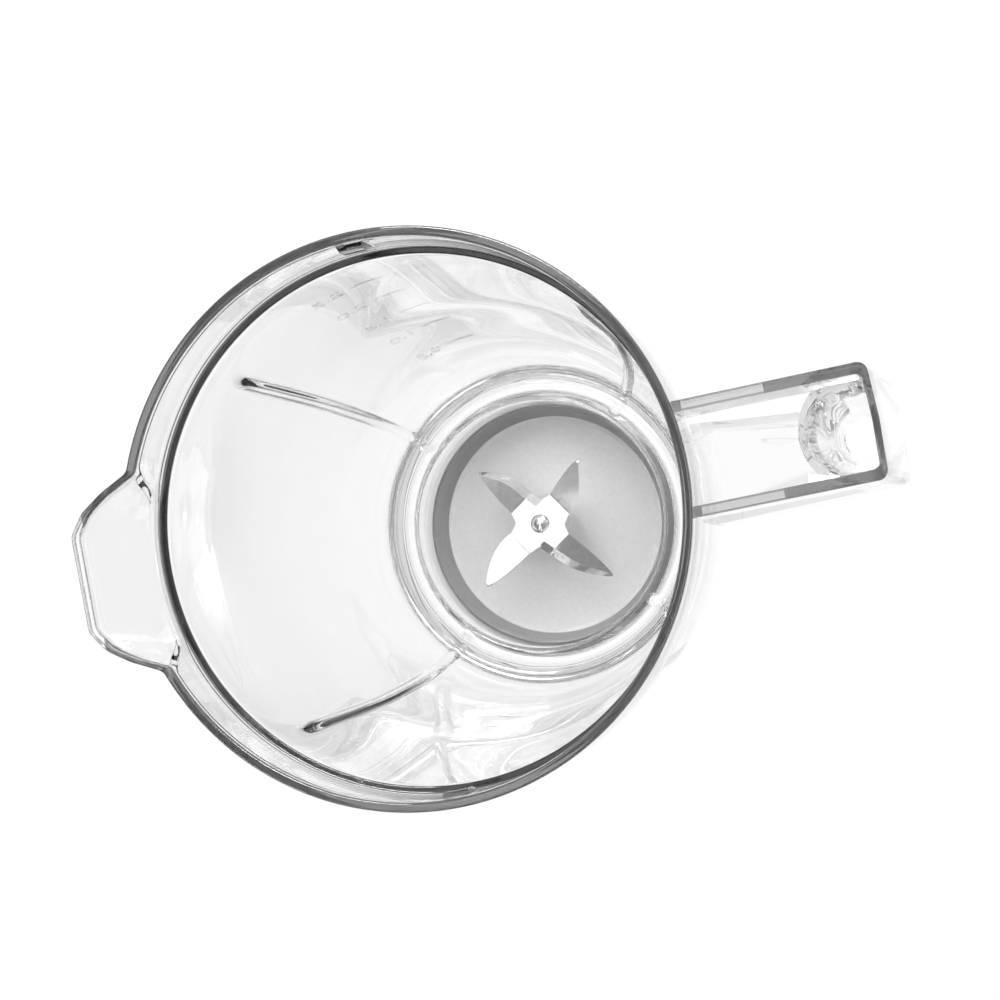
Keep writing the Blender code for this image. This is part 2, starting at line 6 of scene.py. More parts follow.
import bmesh
import bpy
import numpy as np
from mathutils import Euler, Matrix, Vector


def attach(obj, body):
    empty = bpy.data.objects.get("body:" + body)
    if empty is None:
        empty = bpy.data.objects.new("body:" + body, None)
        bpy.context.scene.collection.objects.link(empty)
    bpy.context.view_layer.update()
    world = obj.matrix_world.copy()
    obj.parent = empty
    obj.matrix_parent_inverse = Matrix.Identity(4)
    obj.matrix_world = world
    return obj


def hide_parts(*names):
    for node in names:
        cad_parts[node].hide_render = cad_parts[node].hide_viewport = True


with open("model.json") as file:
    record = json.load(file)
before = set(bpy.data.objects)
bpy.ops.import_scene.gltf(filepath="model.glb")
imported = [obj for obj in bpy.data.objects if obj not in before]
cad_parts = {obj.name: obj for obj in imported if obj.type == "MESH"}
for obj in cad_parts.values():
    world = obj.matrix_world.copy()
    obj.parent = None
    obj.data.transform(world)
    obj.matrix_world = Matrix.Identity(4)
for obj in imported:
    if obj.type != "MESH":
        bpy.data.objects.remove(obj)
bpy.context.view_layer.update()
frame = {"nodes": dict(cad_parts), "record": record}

MM = 0.001
RIM_Z = 231.0
RIM_R = 68.5
FLOOR_Z = 57.1
SPOUT_ROOT_DEG = 20.6
SILL_Z = 217.3
LIP_FLOOR_Z = 228.6
WALL_TOP_Z = 228.9
SPOUT_WALL = 2.3
SPOUT_CORNERS = ((80.7, 0.0), (80.7, 11.8), (77.2, 16.7), (71.4, 20.6), (64.1, 24.1))
RIB_AZIMUTHS = (45.0, 135.0, 225.0, 315.0)
RIB_HALF = 1.9
RIB_DEPTH = 1.15
LUG_AZIMUTHS = (90.0, 270.0)
TAB_AZIMUTHS = (30.0, 150.0, 270.0)

# Handle: half its width, its top under the rim, and the well in its grip.
HANDLE_HALF = 13.6
HANDLE_TOP_Z = 230.4
WELL_X = 105.4
WELL_FLAT_X = 110.9
WELL_WALL = 1.9
GRIP_WALL = 2.4

# Outer face of the goblet from under the collar to the top of the skirt, as (radius, height).
OUTSIDE = (
    (66.9, 208.0),
    (65.7, 190.0),
    (64.0, 149.0),
    (63.0, 128.0),
    (61.8, 114.6),
    (60.2, 101.0),
    (58.3, 87.2),
    (56.4, 77.0),
    (54.1, 69.0),
    (51.4, 62.0),
    (48.6, 56.6),
    (47.2, 52.0),
)
# Skirt and neck, as (radius, height, fillet radius), between the outer face and the inner one.
FOOT = (
    (47.2, 52.0, 0.0),
    (47.0, 46.0, 20.0),
    (47.0, 0.0, 1.0),
    (44.5, 0.0, 0.6),
    (44.2, 51.6, 2.0),
    (40.0, 51.6, 1.2),
    (39.6, 23.6, 0.6),
    (37.2, 23.6, 0.6),
    (37.2, FLOOR_Z - 0.3, 1.8),
    (42.0, FLOOR_Z, 3.0),
    (45.3, FLOOR_Z + 0.3, 0.0),
)
INSIDE = (
    (45.3, FLOOR_Z + 0.3),
    (47.3, 59.4),
    (49.2, 63.0),
    (51.6, 69.0),
    (53.9, 77.0),
    (55.9, 87.2),
    (57.8, 101.0),
    (59.4, 114.6),
    (60.6, 128.0),
    (61.6, 149.0),
    (63.2, 190.0),
    (64.2, 210.0),
)


# ---------------------------------------------------------------- shapes


def smooth_object(name, points, faces, mat):
    """A smooth-shaded object from points in millimetres."""
    mesh = bpy.data.meshes.new(name)
    mesh.from_pydata([tuple(p) for p in np.asarray(points) * MM], [], faces)
    mesh.validate()
    mesh.materials.append(mat)
    mesh.shade_smooth()
    obj = bpy.data.objects.new(name, mesh)
    bpy.context.scene.collection.objects.link(obj)
    return obj


def rounded_corner(a, b, c, radius, arc):
    """Points round the corner b between a and c; a nearly straight one gets points along the line."""
    u, v = a - b, c - b
    lu, lv = np.linalg.norm(u), np.linalg.norm(v)
    u, v = u / lu, v / lv
    half = 0.5 * math.acos(float(np.clip(u @ v, -1.0, 1.0)))
    shares = [k / arc for k in range(arc + 1)]
    if half > 1.56:
        reach = min(0.3, 0.2 * lu, 0.2 * lv)
        return [b + u * reach * (1 - t) + v * reach * t for t in shares]
    reach = min(radius / math.tan(half), 0.45 * lu, 0.45 * lv)
    radius = reach * math.tan(half)
    centre = b + (u + v) / np.linalg.norm(u + v) * (radius / math.sin(half))
    p, q = b + u * reach - centre, b + v * reach - centre
    angle = math.pi - 2.0 * half
    turns = [math.sin((1 - t) * angle) * p + math.sin(t * angle) * q for t in shares]
    return [centre + turn / math.sin(angle) for turn in turns]


def fillet(corners, arc):
    """Points round a closed polyline whose (x, y, radius) corners are rounded."""
    pts = [np.array(c[:2], float) for c in corners]
    out = []
    for i, corner in enumerate(corners):
        out += rounded_corner(pts[i - 1], pts[i], pts[(i + 1) % len(pts)], corner[2], arc)
    return np.array(out)


def rounded_line(corners, arc=5, run=3):
    """Points along an open polyline with rounded (x, y, radius) inner corners, without its last point."""
    pts = [np.array(c[:2], float) for c in corners]
    out = [pts[0]]
    for i in range(1, len(pts)):
        turn = [pts[i]]
        if i < len(pts) - 1:
            turn = rounded_corner(pts[i - 1], pts[i], pts[i + 1], corners[i][2], arc)
        last = out[-1]
        out += [last + (turn[0] - last) * (k / run) for k in range(1, run)]
        out += turn
    return out[:-1]


def flowing_line(knots, per=7, passes=24):
    """Points along a smooth curve through the knots, without its last point."""
    pts = np.array(knots, float)
    pts = np.vstack([2 * pts[0] - pts[1], pts, 2 * pts[-1] - pts[-2]])
    out = []
    for i in range(1, len(pts) - 2):
        p0, p1, p2, p3 = pts[i - 1 : i + 3]
        for t in np.arange(per) / per:
            bend = (2 * p0 - 5 * p1 + 4 * p2 - p3) * t * t + (3 * p1 - p0 - 3 * p2 + p3) * t**3
            out.append(p1 + 0.5 * ((p2 - p0) * t + bend))
    line = np.array(out + [pts[-2]])
    for _ in range(passes):
        line[1:-1] = 0.25 * line[:-2] + 0.5 * line[1:-1] + 0.25 * line[2:]
    return list(line[:-1])


def ring_faces(count, rows):
    """Faces of a closed ring of closed loops."""
    faces = []
    for i in range(count):
        nxt = (i + 1) % count
        for j in range(rows):
            up = (j + 1) % rows
            faces.append((i * rows + j, i * rows + up, nxt * rows + up, nxt * rows + j))
    return faces


def blend(low, high, share):
    """From low to high as the share goes from 0 to 1, and no further."""
    return low + (high - low) * min(1.0, max(0.0, share))


def crossing(a_deg, start, end):
    """Distance from the axis at which the ray at angle a meets the line from start to end."""
    turn = math.radians(a_deg)
    ux, uy = math.cos(turn), math.sin(turn)
    dx, dy = end[0] - start[0], end[1] - start[1]
    return (start[0] * dy - start[1] * dx) / (ux * dy - uy * dx)


def spout_reach(a_deg):
    """Distance from the axis to the spout's straight-sided outline."""
    for start, end in zip(SPOUT_CORNERS, SPOUT_CORNERS[1:]):
        if a_deg <= math.degrees(math.atan2(end[1], end[0])) + 1e-6:
            return max(RIM_R, crossing(a_deg, start, end))
    return RIM_R


def soft_reach(a_deg):
    """The spout's outline with its corners rounded."""
    shares = np.linspace(-0.8, 0.8, 9)
    return float(np.mean([spout_reach(abs(a_deg + s)) for s in shares]))


def spout_floor(a_deg, r):
    """Height of the spout's inner face: a flat ramp whose sides rise past a crease."""
    turn = math.radians(a_deg)
    x, y = r * math.cos(turn), r * math.sin(turn)
    ramp = SILL_Z + (LIP_FLOOR_Z - SILL_Z) * max(0.0, x - 66.3) / 12.1
    past = (y - 11.8 - (78.4 - x) * 0.457) / 1.1
    past = 0.7 * math.log1p(math.exp(min(30.0, past / 0.7)))
    spare = WALL_TOP_Z - ramp - past * blend(0.5, 2.5, (78.0 - x) / 15.0)
    return WALL_TOP_Z - 0.7 * math.log1p(math.exp(min(30.0, spare / 0.7)))


def collar(a_deg):
    """Points of the collar at angle a from the spout: (outer from the rim down, inner up to the rim)."""
    steps = (0.0, 0.34, 0.54, 0.7, 0.82, 0.92, 1.0)
    top = [(66.2, RIM_Z, 0.95), (RIM_R, RIM_Z, 0.95)]
    if a_deg > SPOUT_ROOT_DEG + 1.8:
        outer = [(RIM_R, 226.5 - 0.4 * t, 0.5) for t in steps] + [(68.4, 209.2, 1.0), (66.9, 208.0, 0.0)]
        inner = [(64.2, 210.0, 0.0), (64.3, 210.8, 0.5), (66.0, 210.8, 0.5)]
        inner += [(66.05 + 0.13 * t, 228.6 + 0.3 * t, 0.5) for t in steps]
        return [top[1]] + outer, inner + [top[0]]
    reach = soft_reach(a_deg)
    wall_in = max(reach - SPOUT_WALL, 66.15)
    outer = []
    foot_r = blend(67.25, 68.45, (a_deg - 14.5) / 4.5)
    for t in (1.0 - share for share in reversed(steps)):
        r = blend(reach, foot_r, t)
        outer.append((r, spout_floor(a_deg, max(66.1, r - 0.8)) - 2.4 - 0.4 * t, 1.2))
    outer += [(foot_r - 0.05, 209.2, 1.0), (66.9, 208.0, 0.0)]
    inner = [(64.2, 210.0, 0.0), (64.3, 210.8, 0.5), (66.0, 210.8, 0.5)]
    for t in steps:
        r = blend(66.05, wall_in, t)
        radius = 1.0 if t else blend(0.35, 4.0, (a_deg - 15.5) / 2.0)
        inner.append((r, spout_floor(a_deg, r) - 0.3 * (1.0 - t), radius))
    return [(reach, RIM_Z, 0.95)] + outer, inner + [(wall_in + 0.02, RIM_Z, 0.95)]


def column_azimuths():
    """Azimuths of the goblet's columns: close together at the ribs, lugs and spout."""
    found = list(np.arange(0.0, 360.0, 1.5))
    for rib in RIB_AZIMUTHS:
        found += list(rib + np.arange(-4.0, 4.01, 0.25))
    for lug in LUG_AZIMUTHS:
        found += list(lug + np.arange(-4.0, 4.01, 0.25))
    found += list(180.0 + np.arange(-24.0, 24.01, 0.5))
    return np.unique(np.round(found, 4))


def rib_height(r, z, azimuth):
    """How far a rib stands in from the inner face at this point."""
    total = 0.0
    for rib in RIB_AZIMUTHS:
        turn = math.radians(azimuth - rib)
        if abs(turn) > 0.3:
            continue
        across = r * math.sin(turn)
        if abs(across) >= RIB_HALF:
            continue
        crest = math.cos(0.5 * math.pi * across / RIB_HALF)
        upper = min(1.0, max(0.0, (191.0 - z) / 17.0))
        lower = min(1.0, max(0.0, (r - 38.9) / 1.6))
        total = RIB_DEPTH * crest * math.sin(0.5 * math.pi * upper) * lower**0.5
    return total


def goblet_profile(a_deg):
    """The goblet's section at angle a from the spout, as one closed line."""
    outer, inner = collar(a_deg)
    rim = [inner[-1], outer[0]]
    line = rounded_line([(0.5 * (rim[0][0] + rim[1][0]), RIM_Z, 0.0)] + outer)
    line += flowing_line(OUTSIDE) + rounded_line(FOOT) + flowing_line(INSIDE)
    line += rounded_line(inner + [(0.5 * (rim[0][0] + rim[1][0]), RIM_Z, 0.0)])
    return np.array(line)


def outer_radius(z):
    """Radius of the goblet's outer face at one height."""
    return float(np.interp(-z, [-p[1] for p in OUTSIDE], [p[0] for p in OUTSIDE]))


def lug_height(r, z, azimuth):
    """How far a lid lug stands in from the rim's inner face at this point."""
    found = 0.0
    for lug in LUG_AZIMUTHS:
        across = abs(r * math.radians(azimuth - lug))
        if across < 3.4 and 220.0 < z < 230.0 and r < 67.0:
            side = min(1.0, (3.4 - across) / 0.5)
            found = 1.5 * min(side, min(1.0, max(0.0, (4.4 - abs(z - 225.2)) / 0.6)))
    return found


def build_goblet(mat):
    """The goblet as one skin of closed sections, with its ribs and lugs raised along the normals."""
    loops = []
    for azimuth in column_azimuths():
        profile = goblet_profile(abs(azimuth - 180.0))
        tangent = np.roll(profile, -1, axis=0) - np.roll(profile, 1, axis=0)
        length = np.maximum(np.linalg.norm(tangent, axis=1), 1e-9)
        normal = np.stack([-tangent[:, 1], tangent[:, 0]], axis=1) / length[:, None]
        turn = math.radians(azimuth)
        loop = []
        for (r, z), (nr, nz) in zip(profile, normal):
            if 57.0 < z < 192.0 and r > 38.5 and (nr < -0.05 or nz > 0.5):
                h = rib_height(r, z, azimuth)
                r, z = r + nr * h, z + nz * h
            r -= lug_height(r, z, azimuth)
            loop.append((r * math.cos(turn), r * math.sin(turn), z))
        loops.append(loop)
    rows = len(loops[0])
    points = np.array(loops).reshape(-1, 3)
    goblet = smooth_object("goblet_shell", points, ring_faces(len(loops), rows), mat)
    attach(goblet, "goblet")
    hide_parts("goblet_body")


def prism(name, low, high):
    """A closed solid between two outlines of the same count, given as (x, y, z) points."""
    return loft(name, [low, high])


def stack_object(name, points, faces):
    """A closed solid from points in millimetres, with its faces turned outwards."""
    mesh = bpy.data.meshes.new(name)
    mesh.from_pydata([tuple(c * MM for c in p) for p in points], [], faces)
    work = bmesh.new()
    work.from_mesh(mesh)
    bmesh.ops.recalc_face_normals(work, faces=work.faces)
    work.to_mesh(mesh)
    work.free()
    obj = bpy.data.objects.new(name, mesh)
    bpy.context.scene.collection.objects.link(obj)
    return obj


def side_prism(name, corners, half):
    """An outline in the XZ plane pushed half the width each way along Y."""
    outline = fillet(corners, 6)
    low = [(x, -half, z) for x, z in outline]
    return prism(name, low, [(x, half, z) for x, z in outline])


def carve(obj, cutter, operation="DIFFERENCE"):
    """Applies one Boolean at once and removes the cutter."""
    modifier = obj.modifiers.new("carve", "BOOLEAN")
    modifier.operation = operation
    modifier.object = cutter
    modifier.solver = "EXACT"
    graph = bpy.context.evaluated_depsgraph_get()
    made = bpy.data.meshes.new_from_object(obj.evaluated_get(graph), depsgraph=graph)
    obj.modifiers.clear()
    obj.data = made
    bpy.data.objects.remove(cutter, do_unlink=True)


def handle_plan(end_x, half, corner, bulge, z):
    """Outline of the handle seen from above at one height, with a slightly convex outer end."""
    root = 50.0
    corners = [(root, -half, 0.1), (end_x - bulge, -half, corner), (end_x, 0.0, 40.0)]
    corners += [(end_x - bulge, half, corner), (root, half, 0.1)]
    return [(x, y, z) for x, y in fillet(corners, 8)]


def well_loops(grow=0.0):
    """Outlines of the grip's tapered well from its floor up: round, with a flat next to the end wall."""
    rows = [(155.6, 4.3), (155.8, 5.2), (156.6, 5.8), (158.0, 6.0)]
    rows += [(175.0, 7.6), (195.0, 9.5), (209.6, 10.8)]
    rows += [(210.3, 11.2), (210.75, 11.9), (214.0, 15.0)] if grow == 0.0 else [(214.0, 11.3)]
    loops = []
    for z, r in rows:
        flat = min(WELL_X + r, WELL_FLAT_X) + grow
        loop = []
        for k in range(90):
            turn = 2.0 * math.pi * k / 90
            x = min(WELL_X + (r + grow) * math.cos(turn), flat)
            loop.append((x, (r + grow) * math.sin(turn), z - grow))
        loops.append(loop)
    return loops


def grip_loops(grow, half):
    """Outlines of the grip as the fingers feel it: rounded towards the goblet, square beyond the well."""
    loops = []
    for z, r in ((130.0, 5.9), (156.6, 5.9), (209.0, 10.8), (220.0, 11.8)):
        loop = [(130.0, -half, z), (130.0, half, z)]
        for turn in np.linspace(0.5 * math.pi, 1.5 * math.pi, 61):
            loop.append((WELL_X + (r + grow) * math.cos(turn), half * math.sin(turn), z))
        loops.append(loop)
    return loops


def loft(name, loops):
    """A closed solid through a stack of loops with the same number of points."""
    count = len(loops[0])
    points = [p for loop in loops for p in loop]
    faces = [tuple(range(count - 1, -1, -1)), tuple(range(len(points) - count, len(points)))]
    for i in range(len(loops) - 1):
        for j in range(count):
            nxt = (j + 1) % count
            faces.append((i * count + j, i * count + nxt, (i + 1) * count + nxt, (i + 1) * count + j))
    return stack_object(name, points, faces)


def goblet_clearance():
    """The space that the goblet takes, a little larger."""
    loops = []
    for z in (90.0, 101.0, 114.6, 128.0, 149.0, 170.0, 190.0, 207.6, 209.4, 240.0):
        reach = (RIM_R if z > 209.0 else outer_radius(z)) + 0.2
        turns = np.linspace(0.0, 2.0 * math.pi, 240, False)
        loops.append([(reach * math.cos(t), reach * math.sin(t), z) for t in turns])
    return loft("clearance", loops)


def build_handle(mat):
    """The thin-walled loop: its outline, less the finger opening, trough, well and core."""
    low = handle_plan(117.74, HANDLE_HALF, 3.0, 1.2, 100.0)
    handle = prism("handle_shell", low, handle_plan(112.54, HANDLE_HALF, 2.4, 0.5, 240.0))
    side = [(52.0, HANDLE_TOP_Z, 0.1), (125.0, HANDLE_TOP_Z, 0.1), (125.0, 190.0, 0.1), (116.6, 172.0, 8.0)]
    side += [(113.0, 155.6, 7.0), (106.0, 151.2, 6.0), (52.0, 116.0, 0.1)]
    carve(handle, side_prism("side", side, 20.0), "INTERSECT")
    fingers = [(50.0, 207.6, 0.1), (112.0, 207.6, 0.1), (112.0, 174.1, 0.1), (50.0, 144.6, 0.1)]
    opening = side_prism("fingers", fingers, 30.0)
    carve(opening, loft("grip", grip_loops(GRIP_WALL, HANDLE_HALF + 0.2)))
    carve(handle, opening)
    low = handle_plan(110.9, 10.7, 1.5, 0.4, 210.4)
    carve(handle, prism("trough", low, handle_plan(111.4, 11.1, 1.6, 0.4, 240.0)))
    carve(handle, loft("well", well_loops()))
    core = [(50.0, 141.9, 0.1), (103.0, 167.1, 2.0), (103.0, 207.1, 1.5), (110.2, 207.1, 1.5)]
    core += [(112.9, 168.0, 6.0), (110.0, 156.0, 3.0), (107.0, 140.0, 0.1)]
    core += [(80.0, 115.0, 0.1), (50.0, 98.0, 0.1)]
    hollow = side_prism("hollow", core, 10.8)
    carve(hollow, loft("well_wall", well_loops(WELL_WALL)))
    carve(handle, hollow)
    carve(handle, goblet_clearance())
    bevel = handle.modifiers.new("edges", "BEVEL")
    bevel.width = 0.0005
    bevel.segments = 3
    bevel.limit_method = "ANGLE"
    bevel.angle_limit = math.radians(40)
    bevel.harden_normals = True
    dress_piece(handle, "handle", "goblet", mat)


def lathe(name, profile):
    """A solid of revolution whose closed (radius, height) profile stays clear of the axis."""
    columns = 240
    points = []
    for turn in np.linspace(0.0, 2.0 * math.pi, columns, False):
        points += [(r * math.cos(turn), r * math.sin(turn), z) for r, z in profile]
    return stack_object(name, points, ring_faces(columns, len(profile)))


def dress_piece(obj, node, body, mat):
    """Smooths a piece, gives it its material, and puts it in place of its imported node."""
    obj.data.materials.clear()
    obj.data.materials.append(mat)
    obj.data.shade_smooth()
    obj.data.set_sharp_from_angle(angle=math.radians(40))
    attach(obj, body)
    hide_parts(node)


def build_dish(mat, seal_mat):
    """Smooth dish of the blade unit with its three bayonet tabs, and the seal round it."""
    dish = ((32.5, 33.65), (28.0, 33.9), (21.0, 34.7), (15.0, 36.2), (10.6, 38.6), (8.6, 41.6), (7.8, 45.5))
    profile = flowing_line(dish + ((7.6, 49.2),)) + [(7.6, 49.4), (6.9, 50.2), (4.6, 50.2), (4.6, 22.0)]
    profile += [(6.8, 21.2), (7.6, 26.0), (9.5, 34.0), (20.0, 32.6), (30.8, 30.6), (31.6, 21.4), (33.0, 20.6)]
    profile += [(38.6, 20.6), (39.0, 21.0), (39.0, 22.8), (38.6, 23.2), (35.2, 23.2), (34.8, 23.6)]
    profile += [(34.8, 33.0), (36.3, 33.3), (36.3, 34.4), (33.4, 34.4), (33.1, 34.35), (32.85, 34.1)]
    carrier = lathe("dish_shell", profile)
    for azimuth in TAB_AZIMUTHS:
        turns = np.radians(np.linspace(azimuth - 18.0, azimuth + 18.0, 13))
        outline = [(36.8 * math.cos(t), 36.8 * math.sin(t)) for t in turns]
        outline += [(34.2 * math.cos(t), 34.2 * math.sin(t)) for t in reversed(turns)]
        tab = prism("tab", [(x, y, 28.4) for x, y in outline], [(x, y, 32.0) for x, y in outline])
        carve(carrier, tab, "UNION")
    dress_piece(carrier, "blade_carrier", "blade_unit", mat)
    ring = [(33.6, 34.7), (36.6, 34.7), (36.9, 35.2), (36.7, 36.6), (36.9, 38.0), (36.7, 39.4), (36.9, 40.8)]
    ring += [(36.9, 43.2), (36.75, 43.7), (36.5, 43.95), (36.1, 44.0), (35.8, 43.8), (35.6, 43.4)]
    dress_piece(lathe("seal_shell", ring), "sealing_ring", "blade_unit", seal_mat)


# Marks of the moulded scale: the height of each tick, with its numeral, and where the marks stand
# on the wall, whose radius is near SCALE_R there.
SCALE = ((87.2, "0.5"), (112.5, "1.0"), (136.5, "1.5"), (162.5, "2.0"), (185.1, "2.5"))
SECOND_SCALE = (85.1, 98.8, 118.0)
TICK_AZIMUTH = 93.2
NUMERAL_AZIMUTH = 103.6
SECOND_AZIMUTH = 250.0
SCALE_R = 62.0


def wall_point(azimuth, z, out):
    """A point this far out from the goblet's outer face."""
    r = outer_radius(z) + out
    turn = math.radians(azimuth)
    return (r * math.cos(turn), r * math.sin(turn), z)


def wrap_on_wall(obj, azimuth, z, low=0.05, high=0.35):
    """Bends a flat moulding, drawn in millimetres in the XY plane, round the outer face."""
    for vertex in obj.data.vertices:
        x, y, depth = vertex.co
        out = high if depth > 0.0 else low
        spot = wall_point(azimuth + math.degrees(x / SCALE_R), z + y, out)
        vertex.co = [c * MM for c in spot]


def numeral(text, size):
    """A flat raised numeral as a mesh in millimetres."""
    curve = bpy.data.curves.new("numeral", "FONT")
    curve.body = text
    curve.size = size
    curve.extrude = 0.1
    curve.resolution_u = 6
    maker = bpy.data.objects.new("numeral", curve)
    bpy.context.scene.collection.objects.link(maker)
    graph = bpy.context.evaluated_depsgraph_get()
    mesh = bpy.data.meshes.new_from_object(maker.evaluated_get(graph), depsgraph=graph)
    bpy.data.objects.remove(maker, do_unlink=True)
    obj = bpy.data.objects.new("scale_" + text, mesh)
    bpy.context.scene.collection.objects.link(obj)
    return obj


def build_tick(name, azimuth, z, mat):
    """A raised bar on the wall, in short lengths so that it bends."""
    xs = np.linspace(0.0, 9.0, 9)
    low = [(x, -0.35, -0.1) for x in xs] + [(x, 0.35, -0.1) for x in reversed(xs)]
    bar = prism(name, low, [(x, y, 0.1) for x, y, _ in low])
    for vertex in bar.data.vertices:
        vertex.co = vertex.co / MM
    wrap_on_wall(bar, azimuth, z)
    finish_mark(bar, mat)


def finish_mark(obj, mat):
    """Gives a mark its material and lets it ride on the goblet."""
    obj.data.materials.clear()
    obj.data.materials.append(mat)
    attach(obj, "goblet")


def build_scale(mat):
    """Ticks with their numerals on the +Y side, and a second row of ticks on the -Y side."""
    for z, text in SCALE:
        build_tick("tick_%d" % z, TICK_AZIMUTH, z, mat)
        mark = numeral(text, 7.0)
        wrap_on_wall(mark, NUMERAL_AZIMUTH, z - 2.4)
        finish_mark(mark, mat)
    for z in SECOND_SCALE:
        build_tick("second_tick_%d" % z, SECOND_AZIMUTH, z, mat)


# ---------------------------------------------------------------- materials


def node_material(name, colour, rough, metal=0.0, noise_scale=300.0, vary=0.06, bump=0.0):
    """A Principled material whose colour and roughness wander a little over the surface."""
    mat = bpy.data.materials.new(name)
    mat.use_nodes = True
    nodes, links = mat.node_tree.nodes, mat.node_tree.links
    bsdf = nodes["Principled BSDF"]
    bsdf.inputs["Metallic"].default_value = metal
    coord = nodes.new("ShaderNodeTexCoord")
    noise = nodes.new("ShaderNodeTexNoise")
    noise.inputs["Scale"].default_value = noise_scale
    noise.inputs["Detail"].default_value = 4.0
    links.new(coord.outputs["Object"], noise.inputs["Vector"])
    ramp = nodes.new("ShaderNodeValToRGB")
    low = [max(0.0, c * (1.0 - vary)) for c in colour[:3]]
    high = [min(1.0, c * (1.0 + vary)) for c in colour[:3]]
    ramp.color_ramp.elements[0].position = 0.3
    ramp.color_ramp.elements[1].position = 0.7
    ramp.color_ramp.elements[0].color = (*low, 1.0)
    ramp.color_ramp.elements[1].color = (*high, 1.0)
    links.new(noise.outputs["Fac"], ramp.inputs["Fac"])
    links.new(ramp.outputs["Color"], bsdf.inputs["Base Color"])
    spread = nodes.new("ShaderNodeMapRange")
    spread.inputs["To Min"].default_value = rough * 0.9
    spread.inputs["To Max"].default_value = rough * 1.1
    links.new(noise.outputs["Fac"], spread.inputs["Value"])
    links.new(spread.outputs["Result"], bsdf.inputs["Roughness"])
    if bump:
        relief = nodes.new("ShaderNodeBump")
        relief.inputs["Strength"].default_value = bump
        relief.inputs["Distance"].default_value = 0.0002
        links.new(noise.outputs["Fac"], relief.inputs["Height"])
        links.new(relief.outputs["Normal"], bsdf.inputs["Normal"])
    return mat


def smooth_step(nodes, links, source, low, high):
    """The output of a node that goes from 0 to 1 as the source goes from low to high."""
    ramp = nodes.new("ShaderNodeMapRange")
    ramp.interpolation_type = "SMOOTHSTEP"
    ramp.inputs["From Min"].default_value = low
    ramp.inputs["From Max"].default_value = high
    links.new(source, ramp.inputs["Value"])
    return ramp.outputs["Result"]


def combine(nodes, links, operation, first, second):
    """The output of a maths node that takes two sources."""
    node = nodes.new("ShaderNodeMath")
    node.operation = operation
    links.new(first, node.inputs[0])
    links.new(second, node.inputs[1])
    return node.outputs["Value"]


def box_mask(nodes, links, split, amount, limits, soft=0.0003):
    """The amount inside the limits given as (axis, low, high), 0 outside, in the object's own metres."""
    mask = None
    for axis, low, high in limits:
        source = split.outputs[axis[-1]]
        if axis[0] == "|":
            source = unary(nodes, links, "ABSOLUTE", source)
        for start, end in ((low, low + soft), (high + soft, high)):
            if abs(start) < 1.0:
                side = smooth_step(nodes, links, source, start, end)
                mask = combine(nodes, links, "MULTIPLY", mask, side) if mask else side
    scale = nodes.new("ShaderNodeMath")
    scale.operation = "MULTIPLY"
    scale.inputs[1].default_value = amount
    links.new(mask, scale.inputs[0])
    return scale.outputs["Value"]


def unary(nodes, links, operation, source):
    """The output of a maths node that takes one source."""
    node = nodes.new("ShaderNodeMath")
    node.operation = operation
    links.new(source, node.inputs[0])
    return node.outputs["Value"]


# Share of painted grey shade, then the limits of each box in metres, for the faces that look grey in a clear
# moulding; the grey stands in for the shade that light through them gives.
PAINTED_SHADE_BOXES = (
    (0.95, (("X", -0.0772, 0.0695), ("Z", 0.2299, 9.0))),
    (0.45, (("X", 0.0690, 9.0), ("Z", 0.2299, 9.0))),
    (0.85, (("X", 0.0690, 9.0), ("|Y", 0.0129, 9.0), ("Z", 0.2299, 9.0))),
    (0.85, (("X", 0.0690, 9.0), ("|Y", -9.0, 0.0114), ("Z", 0.2299, 9.0))),
    (0.95, (("X", 0.0885, 9.0), ("Z", 0.2299, 9.0))),
    (1.0, (("X", -9.0, 0.0670), ("Z", 0.2101, 0.2112))),
    (1.0, (("|X", -9.0, 0.0036), ("|Y", 0.0600, 0.0657), ("Z", 0.2204, 0.2297))),
    (0.1, (("X", -9.0, -0.0625), ("Z", 0.2115, 0.2297))),
)


def paint_edge_shade(mat):
    """Paints grey shade into the colour of the rim, the tops of the handle's walls, the ledge, the lugs and,
    faintly, the spout's floor.
    """
    nodes, links = mat.node_tree.nodes, mat.node_tree.links
    bsdf = nodes["Principled BSDF"]
    coord = nodes.new("ShaderNodeTexCoord")
    split = nodes.new("ShaderNodeSeparateXYZ")
    links.new(coord.outputs["Object"], split.inputs["Vector"])
    mask = box_mask(nodes, links, split, *PAINTED_SHADE_BOXES[0])
    for amount, limits in PAINTED_SHADE_BOXES[1:]:
        mask = combine(nodes, links, "MAXIMUM", mask, box_mask(nodes, links, split, amount, limits))
    mix = nodes.new("ShaderNodeMixRGB")
    # Painted shade: the dark grey mixed into the clear plastic's colour inside the boxes.
    mix.inputs["Color2"].default_value = (0.035, 0.035, 0.035, 1.0)
    plain = bsdf.inputs["Base Color"].links[0].from_socket
    links.new(mask, mix.inputs["Fac"])
    links.new(plain, mix.inputs["Color1"])
    links.new(mix.outputs["Color"], bsdf.inputs["Base Color"])


def clear_material(name):
    """Clear plastic: bright through its faces, grey where the light has run a long way inside, and with
    painted grey shade on its rim and edges.
    """
    mat = node_material(name, (0.985, 0.985, 0.985), 0.012, 0.0, 60.0, 0.004)
    nodes, links = mat.node_tree.nodes, mat.node_tree.links
    bsdf = nodes["Principled BSDF"]
    bsdf.inputs["Transmission Weight"].default_value = 1.0
    bsdf.inputs["IOR"].default_value = 1.5
    # Painted grey shade on the rim, the handle's wall tops, the ledge, the lugs and the spout's floor.
    paint_edge_shade(mat)
    absorb = nodes.new("ShaderNodeVolumeAbsorption")
    absorb.inputs["Color"].default_value = (0.5, 0.5, 0.5, 1.0)
    absorb.inputs["Density"].default_value = 14.0
    links.new(absorb.outputs["Volume"], nodes["Material Output"].inputs["Volume"])
    return mat


